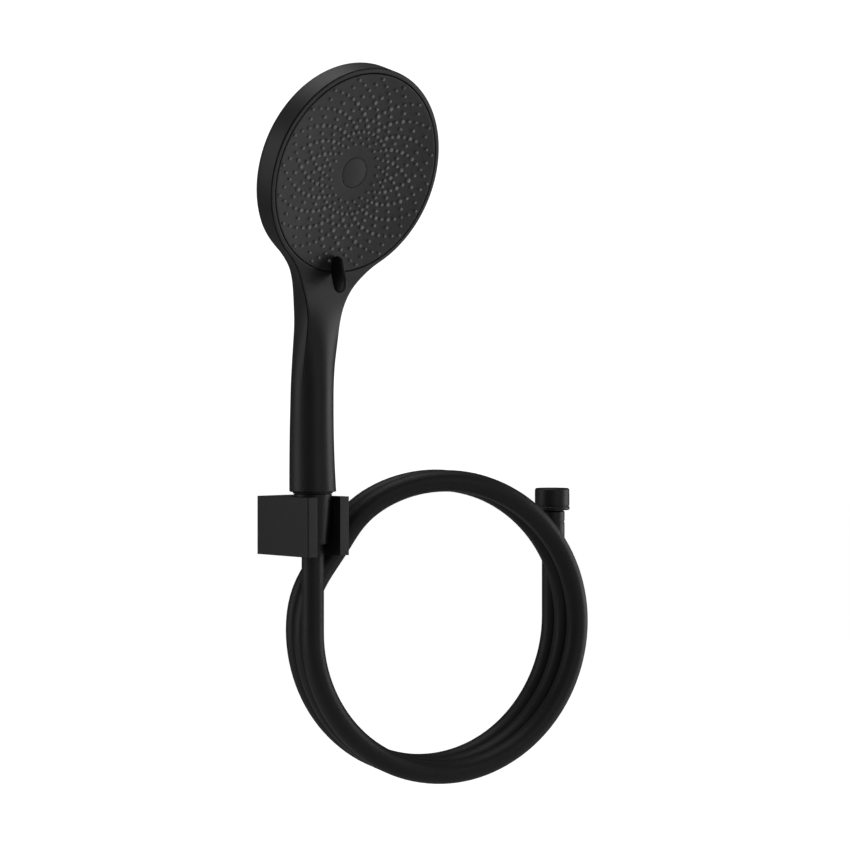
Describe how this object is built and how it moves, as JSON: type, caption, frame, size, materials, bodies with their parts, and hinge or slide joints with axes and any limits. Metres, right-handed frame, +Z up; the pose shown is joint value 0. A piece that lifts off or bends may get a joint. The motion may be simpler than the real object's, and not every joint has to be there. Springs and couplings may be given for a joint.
{
  "type": "handheld shower head",
  "caption": "Matt black handheld shower with a round spray face, a turning mode lever, a fork wall holder and a coiled hose with a conical nut and a round nut.",
  "frame": {"origin": "middle of the holder's back, on the wall", "axes": "+Z up, +Y into the wall, +X to the right as seen from the room"},
  "size_m": [0.2649, 0.1106, 0.4474],
  "materials": {
    "shell_black": "fine satin moulded plastic, matt black",
    "holder_black": "fine powder coat, matt black",
    "fitting_black": "turned metal under a matt black coat",
    "hose_black": "smooth flexible plastic skin, matt black",
    "nozzle_silicone": "soft silicone, mid grey",
    "inner_plastic": "natural engineering plastic",
    "steel": "stainless steel",
    "brass": "turned brass",
    "seal_rubber": "black rubber"
  },
  "bodies": {
    "holder": {"holder_body": "holder_black", "wall_plate": "steel", "grub_screw": "steel", "hose_drop": "hose_black", "hose_coil": "hose_black", "hose_tail": "hose_black", "end_ferrule": "fitting_black", "end_nipple": "brass", "end_washer": "seal_rubber"},
    "hose_end": {"cone_nipple": "brass", "cone_ferrule": "steel"},
    "handset": {"cone_nut": "fitting_black", "strainer_washer": "seal_rubber", "inlet_stub": "brass", "stub_seal": "seal_rubber", "flow_limiter": "inner_plastic", "check_valve_body": "inner_plastic", "check_valve_spring": "steel", "water_tube": "inner_plastic", "tube_seals": "seal_rubber", "rear_shell": "shell_black", "front_cover": "shell_black", "water_chamber": "inner_plastic", "chamber_seal": "seal_rubber", "hub_seal": "seal_rubber", "detent_plunger": "steel", "detent_spring": "steel", "centre_screw": "steel"},
    "spray_disc": {"spray_plate": "shell_black", "nozzle_mat": "nozzle_silicone", "distributor_disc": "inner_plastic", "centre_cap": "shell_black", "mode_lever": "shell_black"},
    "valve_poppet": {"check_valve_poppet": "seal_rubber"},
    "end_nut": {"end_nut": "fitting_black"}
  },
  "joints": [
    {"name": "handset_lift", "type": "slide", "parent": "holder", "child": "hose_end", "axis": [0, 0, 1], "range_m": [0, 0.045]},
    {"name": "handset_swivel", "type": "hinge", "parent": "hose_end", "child": "handset", "pos_m": [0, -0.0335, 0], "axis": [0, 0, 1], "range_deg": [-45, 45]},
    {"name": "mode_lever_turn", "type": "hinge", "parent": "handset", "child": "spray_disc", "pos_m": [0, -0.0749, 0.2142], "axis": [0, -0.9252, -0.3795], "range_deg": [-25, 25]},
    {"name": "check_valve_lift", "type": "slide", "parent": "handset", "child": "valve_poppet", "axis": [0, 0, 1], "range_m": [0, 0.002], "stiffness_N_per_m": 60, "springref_m": -0.003, "deforming": ["check_valve_spring"]},
    {"name": "end_nut_spin", "type": "hinge", "parent": "holder", "child": "end_nut", "pos_m": [0.1875, -0.06698, 0.012], "axis": [0, 0, 1], "continuous": true}
  ]
}
